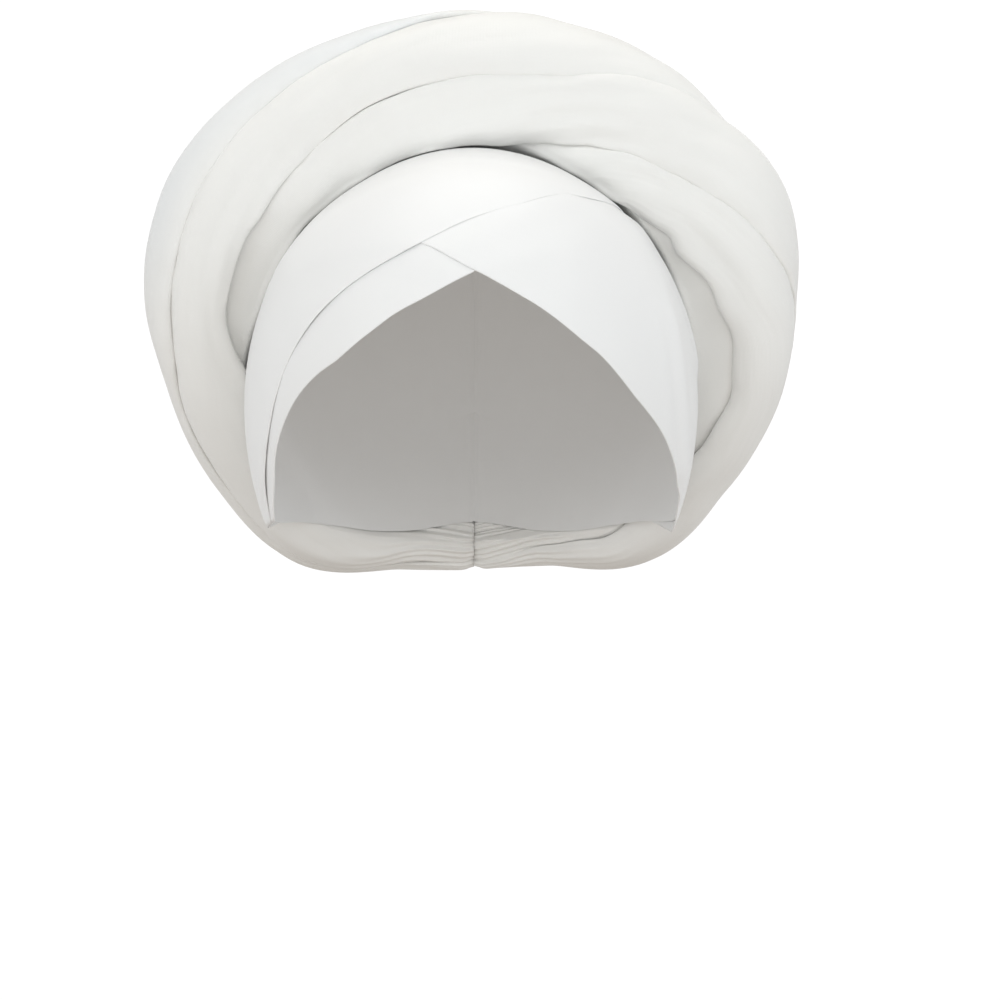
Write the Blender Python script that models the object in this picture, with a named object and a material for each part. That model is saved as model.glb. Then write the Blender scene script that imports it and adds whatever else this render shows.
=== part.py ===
# Twisted turban: a smooth cap, three crossed bands over it, and a padded ring of five twisted strands.
# Metres, +Z up. The face opening looks along -Y, and the origin is the inside of the crown's top.

import math

import bmesh
import bpy
from mathutils import Vector

# The head form that the cap is stretched over
HEAD_HALF_WIDTH = 0.0845
HEAD_HALF_LENGTH = 0.098
CROWN_HEIGHT = 0.097            # from the form's centre up to the inside of the crown
SIDE_DROP = 0.105               # the same radius downwards, in front and at the sides
NAPE_DROP = 0.076               # and at the back, where the form draws in to the nape
HEAD_CENTRE = Vector((0.0, 0.0, -CROWN_HEIGHT))

# Cloth, and the gaps that keep its layers apart
CAP_CLOTH = 0.0012
BAND_CLOTH = 0.0010
LAYER_GAP = 0.0006
LAYER_PITCH = BAND_CLOTH + LAYER_GAP
EDGE_MARGIN = 2.5               # degrees past a band's edge where cloth over it stays lifted
EDGE_EASE = 12.0                # degrees over which it then comes down

# The padded ring
RING_LEVEL = -0.055             # height of the point that its places are turned about
ROPE_POWER = 2.4                # 2 would make the rope's section an ellipse
RING_CLEARANCE = 0.0009         # between the uppermost cloth and the strands that press on it
STRAND_SLIT = 0.00025           # half the slit between two strands
SEAM_SLIT = 0.12                # degrees from the nape seam to the strands' ends
SWIRL = 22.0                    # degrees by which a strand reaches in under the one that laps over it
CORE_SHARE = 0.12               # where the strands end in the middle of the rope, as a share of its radius
SIDE_SHARES = (CORE_SHARE, 0.42)
EDGE_PLACE = 0.06               # how far from its crease a strand that lies under has its edge point
BACK_PLACES = (0.14, 0.30, 0.50, 0.70, 0.86)
EDGE_DROP = 0.13                # how far a strand's back falls to its edge, as a share of the radius
EDGE_DROP_LAP = 0.07            # less where it laps over, more where it lies under
EDGE_SHARPNESS = 2.8
EDGE_SHARPNESS_LAP = 1.2

# How finely each piece is divided
STATIONS = 40
ROOM_HALVINGS = 14              # to find where the rope meets the cap
CAP_COLUMNS, CAP_ROWS = 44, 10
FINE_STEPS = 300                # steps along a band's edge that its columns are chosen from
RIM_STEPS = 12                  # and between two rows of the cap's rim
BAND_COLUMN = 0.0125            # a band's column width, measured along its edges
BAND_ROWS = 10

CLOTHS = {
    "cap_crepe": {"colour": (0.84, 0.845, 0.85), "roughness": 0.62},
    "band_crepe": {"colour": (0.86, 0.865, 0.87), "roughness": 0.55},
    "ring_organza": {"colour": (0.87, 0.865, 0.845), "roughness": 0.70},
}
SHARP_EDGE = 50.0               # degrees past which two faces meet in an edge


class Table:
    """Rows of numbers under named columns, read between the rows along a smooth curve."""

    def __init__(self, columns, rows, period=None):
        self.columns = {name: [row[i] for row in rows] for i, name in enumerate(columns.split())}
        self.places = [row[0] for row in rows]
        self.period = period

    def at(self, name, place):
        xs, ys = self.places, self.columns[name]
        if self.period:
            xs = [x - self.period for x in xs[-3:-1]] + xs + [x + self.period for x in xs[1:3]]
            ys = ys[-3:-1] + ys + ys[1:3]
        last = len(xs) - 1
        place = min(max(place, xs[0]), xs[last])
        k = max(i for i in range(last) if xs[i] <= place)

        def slope(i):
            before, after = max(i - 1, 0), min(i + 1, last)
            return (ys[after] - ys[before]) / (xs[after] - xs[before])

        span = xs[k + 1] - xs[k]
        t = (place - xs[k]) / span
        start = (1 + 2 * t) * (1 - t) ** 2 * ys[k] + t * (1 - t) ** 2 * span * slope(k)
        return start + t * t * (3 - 2 * t) * ys[k + 1] + t * t * (t - 1) * span * slope(k + 1)


# Places on the head form are given by two angles in degrees. The fan goes round the line of sight:
# 0 at the wearer's left ear, 90 over the crown, 180 at the right ear, -90 and 270 below. The opening
# is counted from straight ahead: 0 at the face's middle, 90 at the outline seen from the front.
CAP_RIM = (
    # fan, opening
    (-75.0, 147.5), (-60.0, 141.0), (-50.0, 135.0), (-40.0, 127.0), (-34.0, 117.0), (-31.0, 103.0),
    (-29.5, 90.5), (-26.0, 79.5), (-19.0, 68.5), (-9.5, 55.5), (2.5, 43.0), (23.0, 33.5), (51.0, 28.5),
    (70.5, 28.5), (87.4, 31.0), (101.0, 28.5), (117.0, 27.5), (147.0, 30.5), (163.0, 35.5),
    (171.5, 41.5), (180.0, 48.0), (188.0, 54.0), (195.0, 60.0), (203.0, 67.5), (207.5, 77.0),
    (209.5, 90.5), (211.0, 103.0), (214.0, 117.0), (220.0, 127.0), (230.0, 135.0), (240.0, 141.0),
    (255.0, 147.5), (270.0, 150.0),
)

BANDS = {
    "under_band": {
        "lies_on": (),
        "edges": Table("fan front back", (
            (58.0, 41.0, 58.0), (73.0, 33.5, 58.0), (87.4, 27.8, 58.0), (101.0, 25.0, 59.0),
            (117.0, 24.0, 62.0), (132.0, 25.0, 67.0), (147.0, 27.0, 76.0), (163.0, 32.0, 90.0),
            (171.5, 38.0, 99.0), (180.0, 44.5, 106.0), (188.0, 50.5, 110.0), (195.0, 56.0, 113.0),
            (203.0, 62.0, 117.0), (211.0, 71.0, 119.0),
        )),
    },
    "over_band": {
        "lies_on": ("under_band",),
        "edges": Table("fan front back", (
            (-32.6, 86.6, 119.0), (-26.0, 74.6, 118.0), (-19.0, 64.0, 116.0), (-9.5, 51.5, 111.0),
            (2.5, 39.0, 106.0), (23.0, 29.8, 100.0), (35.0, 26.7, 98.0), (51.0, 25.0, 97.0),
            (70.5, 25.0, 97.0), (87.4, 27.3, 97.0), (98.6, 31.0, 97.0), (108.0, 36.4, 97.0),
            (122.0, 44.0, 97.0), (135.0, 53.0, 97.0), (142.0, 60.0, 97.0),
        )),
    },
    "top_band": {
        "lies_on": ("under_band", "over_band"),
        "edges": Table("fan front back", (
            (52.0, 84.0, 97.0), (61.0, 65.6, 97.0), (73.0, 50.0, 97.0), (83.0, 43.6, 97.0),
            (96.0, 38.8, 97.0), (108.0, 36.3, 97.0), (121.4, 36.3, 97.0), (139.5, 39.4, 97.0),
            (156.0, 44.0, 98.0), (169.0, 48.5, 102.0), (180.0, 52.5, 106.0), (190.0, 57.5, 110.5),
            (199.0, 64.0, 115.0), (211.0, 74.0, 119.0),
        )),
    },
}

# Places along the ring are angles in degrees: -90 and 270 at the nape seam, 0 at the right ear,
# 90 over the crown, 180 at the left ear. Reach is how far its outer edge lies from the ring's
# middle, and depth how far behind the head's middle its core runs.
ROPE = Table("ring reach half_width half_depth depth", (
    (-90.0, 0.1070, 0.0120, 0.0130, 0.086),
    (-72.0, 0.1110, 0.0130, 0.0140, 0.083),
    (-54.0, 0.1270, 0.0165, 0.0180, 0.072),
    (-35.0, 0.1270, 0.0215, 0.0230, 0.055),
    (-15.0, 0.1270, 0.0260, 0.0260, 0.036),
    (2.0, 0.1295, 0.0280, 0.0280, 0.026),
    (22.0, 0.1290, 0.0295, 0.0290, 0.022),
    (46.0, 0.1210, 0.0298, 0.0295, 0.021),
    (70.0, 0.1138, 0.0290, 0.0305, 0.017),
    (90.0, 0.1130, 0.0290, 0.0310, 0.015),
    (110.0, 0.1150, 0.0290, 0.0305, 0.017),
    (132.0, 0.1198, 0.0297, 0.0295, 0.020),
    (146.0, 0.1228, 0.0300, 0.0290, 0.021),
    (162.0, 0.1302, 0.0305, 0.0290, 0.022),
    (178.0, 0.1285, 0.0285, 0.0290, 0.026),
    (192.0, 0.1285, 0.0260, 0.0270, 0.034),
    (215.0, 0.1270, 0.0215, 0.0230, 0.055),
    (234.0, 0.1270, 0.0165, 0.0180, 0.072),
    (252.0, 0.1110, 0.0130, 0.0140, 0.083),
    (270.0, 0.1070, 0.0120, 0.0130, 0.086),
), period=360.0)

# The creases between the strands, as places round the rope in degrees: 0 to the front, 90 outwards,
# -90 inwards to the head. Over the whole ring they turn three strands further, and meet at the seam.
CREASES = Table("ring outer_crest crest_front front_side side_inner inner_outer", (
    (-90.0, 60, -20, -95, -165, -235),
    (-72.0, 62, -35, -105, -170, -238),
    (-54.0, 64, -50, -115, -175, -240),
    (-35.0, 60, -48, -112, -172, -238),
    (-20.0, 58, -33, -110, -169, -237),
    (-7.0, 43, -15, -104, -166, -236),
    (8.0, 33, -18, -99, -163, -234),
    (25.0, 27, -24, -95, -159, -232),
    (45.0, 32, -16, -90, -155, -230),
    (62.0, 41, -7, -84, -149, -224),
    (76.0, 57, -3, -76, -144, -220),
    (90.0, 76, 0, -66, -134, -215),
    (102.0, 93, 4, -54, -120, -209),
    (114.0, 108, 15, -43, -103, -203),
    (127.0, 120, 35, -29, -83, -196),
    (137.0, 130, 51, -18, -62, -190),
    (147.0, 139, 69, -6, -47, -183),
    (157.0, 147, 92, 6, -41, -176),
    (168.0, 157, 109, 33, -34, -166),
    (176.0, 164, 118, 60, -14, -157),
    (184.0, 171, 130, 83, 0, -147),
    (194.0, 180, 140, 95, 11, -135),
    (207.0, 192, 149, 104, 7, -120),
    (220.0, 207, 159, 112, -9, -102),
    (234.0, 225, 171, 118, -10, -80),
    (252.0, 245, 184, 122, 17, -50),
    (270.0, 265, 195, 125, 60, -20),
))
RING_START, RING_END = -90.0, 270.0
RING_STEP = 0.5                 # degrees either way that give the rope's direction

# Each strand lies between two creases. The laps say which strand is over: 1 the one on the side of
# the larger places, -1 the other, on the ring's right half and on its left half.
STRANDS = {
    "outer_strand": {"low": "outer_crest", "high": "inner_outer", "turn": 360.0},
    "crest_strand": {"low": "crest_front", "high": "outer_crest", "turn": 0.0},
    "front_strand": {"low": "front_side", "high": "crest_front", "turn": 0.0},
    "side_strand": {"low": "side_inner", "high": "front_side", "turn": 0.0},
    "inner_strand": {"low": "inner_outer", "high": "side_inner", "turn": 0.0},
}
LAPS = {
    "outer_crest": (1.0, 1.0),
    "crest_front": (1.0, -1.0),
    "front_side": (1.0, 1.0),
    "side_inner": (1.0, 1.0),
    "inner_outer": (0.0, 0.0),
}
LAP_CHANGES = (30.0, 110.0)     # the stretch of the ring where a lap goes over to the other side

# Where a strand is slack: along the ring, round the rope, and how full it is in the middle of that
SLACK = {
    "inner_strand": {"ring": 180.0, "spread": 38.0, "place": -42.0, "width": 50.0, "fullness": 0.66},
    "front_strand": {"ring": 4.0, "spread": 32.0, "place": -55.0, "width": 42.0, "fullness": 0.84},
}


def clear_scene():
    for item in list(bpy.data.objects):
        bpy.data.objects.remove(item, do_unlink=True)


def ease(t):
    t = min(max(t, 0.0), 1.0)
    return t * t * (3 - 2 * t)


def cloth_material(piece, cloth):
    """A piece's own material, in one of the three cloths."""
    material = bpy.data.materials.new(piece + "_" + cloth)
    material.use_nodes = True
    shader = material.node_tree.nodes["Principled BSDF"]
    shader.inputs["Base Color"].default_value = (*CLOTHS[cloth]["colour"], 1.0)
    shader.inputs["Roughness"].default_value = CLOTHS[cloth]["roughness"]
    shader.inputs["Metallic"].default_value = 0.0
    return material


def closed_solid(name, points, faces, cloth):
    """One object from points and faces, with its faces turned outwards."""
    bm = bmesh.new()
    verts = [bm.verts.new(point) for point in points]
    for face in faces:
        bm.faces.new([verts[i] for i in face])
    bmesh.ops.recalc_face_normals(bm, faces=bm.faces)
    mesh = bpy.data.meshes.new(name)
    bm.to_mesh(mesh)
    bm.free()
    mesh.shade_smooth()
    mesh.set_sharp_from_angle(angle=math.radians(SHARP_EDGE))
    mesh.materials.append(cloth_material(name, cloth))
    piece = bpy.data.objects.new(name, mesh)
    bpy.context.scene.collection.objects.link(piece)
    return piece


def head_radius(direction):
    """Distance from the head form's centre to its surface."""
    level = math.hypot(direction.x, direction.y)
    height = CROWN_HEIGHT
    if direction.z < 0 and level > 0:
        backwards = max(0.0, direction.y / level)
        height = SIDE_DROP + (NAPE_DROP - SIDE_DROP) * backwards ** 2
    return 1.0 / math.sqrt(
        (direction.x / HEAD_HALF_WIDTH) ** 2
        + (direction.y / HEAD_HALF_LENGTH) ** 2
        + (direction.z / height) ** 2
    )


def on_head(fan, opening, lift):
    """The point at two angles, lifted off the head form."""
    fan, opening = math.radians(fan), math.radians(opening)
    side = math.sin(opening)
    direction = Vector((side * math.cos(fan), -math.cos(opening), side * math.sin(fan)))
    return HEAD_CENTRE + direction * (head_radius(direction) + lift)


def presence(band, fan, opening):
    """1 where a band lies, easing down to 0 past its edges."""
    edges = BANDS[band]["edges"]
    first, last = edges.places[0], edges.places[-1]
    nearest = min(max(fan, first), last)
    across = math.sin(math.radians(opening))
    beyond = max(
        (first - fan) * across,
        (fan - last) * across,
        edges.at("front", nearest) - opening,
        opening - edges.at("back", nearest),
    )
    return ease(1 - (beyond - EDGE_MARGIN) / EDGE_EASE)


def band_lift(band, fan, opening):
    """Height of a band's inner face above the head form, over whatever lies under it."""
    under = sum(presence(other, fan, opening) for other in BANDS[band]["lies_on"])
    return CAP_CLOTH + LAYER_GAP + LAYER_PITCH * under


def clearance(point):
    """How far a point is outside the uppermost cloth."""
    arm = point - HEAD_CENTRE
    direction = arm.normalized()
    opening = math.degrees(math.acos(-direction.y))
    fan = math.degrees(math.atan2(direction.z, direction.x))
    if fan < -90:
        fan += 360
    cloth = CAP_CLOTH + LAYER_PITCH * sum(presence(band, fan, opening) for band in BANDS)
    return arm.length - head_radius(direction) - cloth


def spread(places, lengths, count):
    """Values read from a list at even steps of the length travelled along it."""
    total, travelled, chosen = sum(lengths), 0.0, []
    for place, length in zip(places, lengths):
        while len(chosen) < count and travelled + length > total * len(chosen) / count:
            chosen.append(place)
        travelled += length
    return chosen


def even_rim():
    """The cap's rim as columns that are evenly spaced along it, as pairs of angles."""
    fine = []
    count = len(CAP_RIM)
    for k in range(count):
        rows = [CAP_RIM[(k + step) % count] for step in (-1, 0, 1, 2)]
        fans = [rows[0][0]]
        for fan, _ in rows[1:]:
            fans.append(fan + 360 if fan < fans[-1] - 180 else fan)
        openings = [opening for _, opening in rows]
        for step in range(RIM_STEPS):
            t = step / RIM_STEPS
            fine.append(tuple(
                0.5 * (2 * v[1] + (v[2] - v[0]) * t + (2 * v[0] - 5 * v[1] + 4 * v[2] - v[3]) * t * t
                       + (3 * v[1] - v[0] - 3 * v[2] + v[3]) * t ** 3)
                for v in (fans, openings)
            ))
    points = [on_head(fan, opening, 0.0) for fan, opening in fine]
    steps = [(b - a).length for a, b in zip(points, points[1:] + points[:1])]
    return spread(fine, steps, CAP_COLUMNS)


def make_cap():
    """The dome: columns from the rim to a pole at the back of the head, in two faces joined at the rim."""
    columns = even_rim()
    points, faces = [], []
    for lift in (CAP_CLOTH, 0.0):
        for fan, opening in columns:
            for row in range(CAP_ROWS):
                along = row / CAP_ROWS
                points.append(on_head(fan, opening + (180 - opening) * along, lift))
        points.append(on_head(0.0, 180.0, lift))
    face_size = len(columns) * CAP_ROWS + 1
    for i in range(len(columns)):
        here, there = i * CAP_ROWS, (i + 1) % len(columns) * CAP_ROWS
        for base in (0, face_size):
            for row in range(CAP_ROWS - 1):
                a, b = base + here + row, base + there + row
                faces += [(a, b, b + 1), (a, b + 1, a + 1)]
            last = CAP_ROWS - 1
            faces.append((base + here + last, base + there + last, base + face_size - 1))
        a, b = here, there
        faces += [(a, a + face_size, b + face_size), (a, b + face_size, b)]
    return closed_solid("cap", points, faces, "cap_crepe")


def band_columns(edges):
    """The fans of a band's columns, evenly spaced along its two edges together."""
    first, last = edges.places[0], edges.places[-1]
    fans = [first + (last - first) * i / FINE_STEPS for i in range(FINE_STEPS + 1)]
    ends = [[on_head(fan, edges.at(side, fan), 0.0) for side in ("front", "back")] for fan in fans]
    steps = [((b[0] - a[0]).length + (b[1] - a[1]).length) / 2 for a, b in zip(ends, ends[1:])]
    return spread(fans[:-1], steps, round(sum(steps) / BAND_COLUMN)) + [last]


def make_band(name):
    """A strip of cloth: columns across it from its front edge to its back edge, in two faces."""
    edges = BANDS[name]["edges"]
    fans = band_columns(edges)
    points, faces = [], []
    for thickness in (BAND_CLOTH, 0.0):
        for fan in fans:
            front, back = edges.at("front", fan), edges.at("back", fan)
            for row in range(BAND_ROWS + 1):
                opening = front + (back - front) * row / BAND_ROWS
                points.append(on_head(fan, opening, band_lift(name, fan, opening) + thickness))
    stride = BAND_ROWS + 1
    columns = len(fans) - 1
    face_size = stride * (columns + 1)
    for base in (0, face_size):
        for i in range(columns):
            for row in range(BAND_ROWS):
                a = base + i * stride + row
                b = a + stride
                faces += [(a, b, b + 1), (a, b + 1, a + 1)]
    border = [i * stride for i in range(columns + 1)]
    border += [columns * stride + row for row in range(1, stride)]
    border += [i * stride + BAND_ROWS for i in range(columns - 1, -1, -1)]
    border += list(range(BAND_ROWS - 1, 0, -1))
    for a, b in zip(border, border[1:] + border[:1]):
        faces += [(a, b, b + face_size), (a, b + face_size, a + face_size)]
    return closed_solid(name, points, faces, "band_crepe")


def ring_core(ring):
    """The middle of the rope at a place along the ring."""
    distance = ROPE.at("reach", ring) - ROPE.at("half_width", ring)
    angle = math.radians(ring)
    depth = ROPE.at("depth", ring)
    return Vector((-distance * math.cos(angle), depth, RING_LEVEL + distance * math.sin(angle)))


def ring_frame(ring):
    """The rope's middle there, and half its width outwards and half its depth to the front."""
    along = (ring_core(ring + RING_STEP) - ring_core(ring - RING_STEP)).normalized()
    angle = math.radians(ring)
    outward = Vector((-math.cos(angle), 0.0, math.sin(angle)))
    outward = (outward - along * outward.dot(along)).normalized()
    front = along.cross(outward)
    if front.y > 0:
        front.negate()
    return ring_core(ring), outward * ROPE.at("half_width", ring), front * ROPE.at("half_depth", ring)


def rope_arm(frame, place):
    """From the middle of the rope to its surface, which is a little squarer than an ellipse."""
    _, outward, front = frame
    angle = math.radians(place)
    out, ahead = math.sin(angle), math.cos(angle)
    squareness = (abs(out) ** ROPE_POWER + abs(ahead) ** ROPE_POWER) ** (-1 / ROPE_POWER)
    return (outward * out + front * ahead) * squareness


def rope_point(frame, place, share):
    return frame[0] + rope_arm(frame, place) * share


def room(frame, place):
    """The largest share of the rope's radius that stays clear of the cloth under it."""
    if clearance(rope_point(frame, place, 1.0)) >= RING_CLEARANCE:
        return 1.0
    low, high = 0.0, 1.0
    for _ in range(ROOM_HALVINGS):
        middle = (low + high) / 2
        if clearance(rope_point(frame, place, middle)) >= RING_CLEARANCE:
            low = middle
        else:
            high = middle
    return low


def lap_at(crease, ring):
    right, left = LAPS[crease]
    start, end = LAP_CHANGES
    return right + (left - right) * ease((ring - start) / (end - start))


def hollow(name, ring, place):
    """How far a slack strand sinks in at a place, as a share of the rope's radius."""
    if name not in SLACK:
        return 0.0
    slack = SLACK[name]
    along = 1 - ((ring - slack["ring"]) / slack["spread"]) ** 2
    across = 1 - ((place - slack["place"]) / slack["width"]) ** 2
    return (1 - slack["fullness"]) * max(0.0, along) ** 2 * max(0.0, across) ** 2


def strand_section(name, ring, frame):
    """The strand's outline in one section of the rope: in along one crease, over its back and in again."""
    strand = STRANDS[name]
    turn = strand["turn"]
    low = CREASES.at(strand["low"], ring)
    high = CREASES.at(strand["high"], ring) + turn
    low_lap, high_lap = lap_at(strand["low"], ring), lap_at(strand["high"], ring)

    def edge_share(lap):
        return 1 - EDGE_DROP + EDGE_DROP_LAP * lap

    def back(t):
        lap = low_lap if t < 0.5 else -high_lap
        off = abs(2 * t - 1)
        fall = (1 - edge_share(lap)) * off ** (EDGE_SHARPNESS + EDGE_SHARPNESS_LAP * lap)
        return (1 - fall) * (1 - hollow(name, ring, low + (high - low) * t) * (1 - off ** 4))

    def point(t, share, slit):
        place = low + (high - low) * t
        place += (low_lap + (high_lap - low_lap) * t) * SWIRL * (1 - share)
        reach = share * room(frame, place)
        if slit:
            radius = reach * rope_arm(frame, place).length
            place += slit * math.degrees(STRAND_SLIT / radius)
        return rope_point(frame, place, reach)

    low_edge, high_edge = EDGE_PLACE * (1 - low_lap) / 2, 1 - EDGE_PLACE * (1 + high_lap) / 2
    inner = [(0.0, share, 1) for share in SIDE_SHARES + (edge_share(-abs(low_lap)),)]
    over = [(low_edge, back(low_edge), 1)]
    over += [(t, back(t), 0) for t in BACK_PLACES]
    over += [(high_edge, back(high_edge), -1)]
    outer = [(1.0, share, -1) for share in (edge_share(-abs(high_lap)),) + SIDE_SHARES[::-1]]
    return [point(*spot) for spot in inner + over + outer]


def make_strand(name):
    """One padded strand, from the nape seam all the way round to it again, in triangles.

    Where two strands face each other their triangles are split along the same diagonals.
    """
    span = RING_END - RING_START - 2 * SEAM_SLIT
    points = []
    for i in range(STATIONS):
        ring = RING_START + SEAM_SLIT + span * i / (STATIONS - 1)
        points += strand_section(name, ring, ring_frame(ring))
    count = len(points) // STATIONS
    faces = [tuple(range(count)), tuple((STATIONS - 1) * count + k for k in range(count))]
    for i in range(STATIONS - 1):
        for k in range(count):
            a, b = i * count + k, i * count + (k + 1) % count
            c, d = a + count, b + count
            if k < count // 2:
                faces += [(a, b, d), (a, d, c)]
            else:
                faces += [(a, b, c), (b, d, c)]
    return closed_solid(name, points, faces, "ring_organza")


def main():
    clear_scene()
    pieces = [make_cap()]
    pieces += [make_band(name) for name in BANDS]
    pieces += [make_strand(name) for name in STRANDS]
    turban = bpy.data.objects.new("turban", None)
    bpy.context.scene.collection.objects.link(turban)
    for piece in pieces:
        piece.parent = turban


main()
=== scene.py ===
# Twisted turban: a smooth cap, three crossed bands over it and a padded, twisted ring behind them
import math

import bmesh
import bpy
import numpy as np
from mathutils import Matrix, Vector


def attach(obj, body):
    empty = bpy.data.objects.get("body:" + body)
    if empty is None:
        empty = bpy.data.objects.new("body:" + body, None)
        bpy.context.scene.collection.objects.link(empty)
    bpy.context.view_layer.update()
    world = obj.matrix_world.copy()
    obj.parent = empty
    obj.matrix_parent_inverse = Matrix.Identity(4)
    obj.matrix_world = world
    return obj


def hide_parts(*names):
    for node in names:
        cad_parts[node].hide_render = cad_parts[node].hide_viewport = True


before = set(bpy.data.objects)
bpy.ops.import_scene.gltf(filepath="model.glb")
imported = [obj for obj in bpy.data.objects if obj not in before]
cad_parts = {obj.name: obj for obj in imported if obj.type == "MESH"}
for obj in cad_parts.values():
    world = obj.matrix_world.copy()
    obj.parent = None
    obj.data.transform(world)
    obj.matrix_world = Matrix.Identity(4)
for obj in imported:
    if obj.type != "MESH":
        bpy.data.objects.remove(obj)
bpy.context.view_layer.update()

print("frame loaded:", ", ".join(sorted(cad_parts)))

body = "root"  # nothing on the turban moves on its own
mm = 0.001
turn = 2 * math.pi


# Small tools for smooth numbers

def ease(t):
    t = np.clip(t, 0.0, 1.0)
    return t * t * (3 - 2 * t)


def swell(distance, width):  # 1 in the middle, gone a little past the width
    return np.exp(-(distance / width) ** 2)


def window(place, start, end, soft):  # 1 between two places, easing to 0 outside them
    return ease((place - start) / soft + 1) * ease((end - place) / soft + 1)


def ripple(along, across, seed, waves=7):  # soft unevenness, about -1 to 1, the same each run
    draw = np.random.default_rng(seed)
    total = 0.0
    for _ in range(waves):
        angle, phase, pace = draw.uniform(0, turn), draw.uniform(0, turn), draw.uniform(0.55, 1.45)
        total = total + np.sin(turn * pace * (along * math.cos(angle) + across * math.sin(angle)) + phase)
    return total / math.sqrt(waves)


def unit(vectors):
    return vectors / np.linalg.norm(vectors, axis=-1, keepdims=True)


class Table:  # rows under named columns, read between the rows along a smooth curve
    def __init__(self, columns, rows, period=None):
        self.columns = {name: np.array([row[i] for row in rows]) for i, name in enumerate(columns.split())}
        self.places = np.array([row[0] for row in rows])
        self.period = period

    def at(self, name, place):
        xs, ys = self.places, self.columns[name]
        if self.period:
            xs = np.concatenate([xs[-3:-1] - self.period, xs, xs[1:3] + self.period])
            ys = np.concatenate([ys[-3:-1], ys, ys[1:3]])
        before = np.maximum(np.arange(len(xs)) - 1, 0)
        after = np.minimum(np.arange(len(xs)) + 1, len(xs) - 1)
        slope = (ys[after] - ys[before]) / (xs[after] - xs[before])
        place = np.clip(place, xs[0], xs[-1])
        k = np.clip(np.searchsorted(xs, place, side="right") - 1, 0, len(xs) - 2)
        span = xs[k + 1] - xs[k]
        t = (place - xs[k]) / span
        start = (1 + 2 * t) * (1 - t) ** 2 * ys[k] + t * (1 - t) ** 2 * span * slope[k]
        return start + t * t * (3 - 2 * t) * ys[k + 1] + t * t * (t - 1) * span * slope[k + 1]


# The head form under the cloth. A place on it is a fan angle round the line of sight (0 at the left
# side, 90 over the crown, 180 at the right side) and an opening angle from straight ahead.
head = {
    "halfWidth": 0.0845,
    "halfLength": 0.098,
    "crownHeight": 0.097,
    "sideDrop": 0.105,
    "napeDrop": 0.076,
}
headCentre = np.array([0.0, 0.0, -head["crownHeight"]])
degreeLength = 1.6 * mm  # about one degree of opening, along the cloth


def headRadius(direction):
    x, y, z = np.moveaxis(direction, -1, 0)
    backwards = np.clip(y / np.maximum(np.hypot(x, y), 1e-9), 0.0, None)
    below = head["sideDrop"] + (head["napeDrop"] - head["sideDrop"]) * backwards ** 2
    height = np.where(z < 0, below, head["crownHeight"])
    return 1 / np.sqrt((x / head["halfWidth"]) ** 2 + (y / head["halfLength"]) ** 2 + (z / height) ** 2)


def onHead(fan, opening, lift):
    fan, opening = np.radians(fan), np.radians(opening)
    side = np.sin(opening)
    direction = np.stack([side * np.cos(fan), -np.cos(opening) + 0 * fan, side * np.sin(fan)], -1)
    return headCentre + direction * (headRadius(direction) + lift)[..., None]


# The bands' edges, as opening angles along the fan
bandEdges = {
    "under_band": Table("fan front back", (
        (58.0, 41.0, 58.0), (73.0, 33.5, 58.0), (87.4, 27.8, 58.0), (101.0, 25.0, 59.0),
        (117.0, 24.0, 62.0), (132.0, 25.0, 67.0), (147.0, 27.0, 76.0), (163.0, 32.0, 90.0),
        (171.5, 38.0, 99.0), (180.0, 44.5, 106.0), (188.0, 50.5, 110.0), (195.0, 56.0, 113.0),
        (203.0, 62.0, 117.0), (211.0, 71.0, 119.0),
    )),
    "over_band": Table("fan front back", (
        (-32.6, 86.6, 119.0), (-26.0, 74.6, 118.0), (-19.0, 64.0, 116.0), (-9.5, 51.5, 111.0),
        (2.5, 39.0, 106.0), (23.0, 29.8, 100.0), (35.0, 26.7, 98.0), (51.0, 25.0, 97.0),
        (70.5, 25.0, 97.0), (87.4, 27.3, 97.0), (98.6, 31.0, 97.0), (108.0, 36.4, 97.0),
        (122.0, 44.0, 97.0), (135.0, 53.0, 97.0), (142.0, 60.0, 97.0),
    )),
    "top_band": Table("fan front back", (
        (52.0, 84.0, 97.0), (61.0, 65.6, 97.0), (73.0, 50.0, 97.0), (83.0, 43.6, 97.0),
        (96.0, 38.8, 97.0), (108.0, 36.3, 97.0), (121.4, 36.3, 97.0), (139.5, 39.4, 97.0),
        (156.0, 44.0, 98.0), (169.0, 48.5, 102.0), (180.0, 52.5, 106.0), (190.0, 57.5, 110.5),
        (199.0, 64.0, 115.0), (211.0, 74.0, 119.0),
    )),
}
liesOn = {"under_band": (), "over_band": ("under_band",), "top_band": ("under_band", "over_band")}

layers = {
    "cloth": 0.50 * mm,
    "gap": 0.06 * mm,
    "showMargin": 0.9,      # degrees past a band's edge where the cloth over it stays lifted
    "showEase": 5.0,        # and over which it comes down
    "bodyMargin": 2.5,      # the same for the soft bulk under all the layers
    "bodyEase": 12.0,
    "bodyLift": 0.60 * mm,
    "bodyPerBand": 0.85 * mm,
    "crownShare": 0.75,     # how much of that bulk is pressed flat over the crown
    "crownFans": (68, 112, 26),
    "crownOpenings": (74, 108, 22),
    "uneven": 0.12 * mm,    # soft waves in the bands, and how far one reaches over the head
    "unevenFan": 46,
    "unevenOpening": 21,
}


def presence(band, fan, opening, margin, soft):
    edges = bandEdges[band]
    first, last = edges.places[0], edges.places[-1]
    nearest = np.clip(fan, first, last)
    across = np.sin(np.radians(opening))
    beyond = np.maximum.reduce([
        (first - fan) * across,
        (fan - last) * across,
        edges.at("front", nearest) - opening,
        opening - edges.at("back", nearest),
    ])
    return ease(1 - (beyond - margin) / soft)


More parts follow.
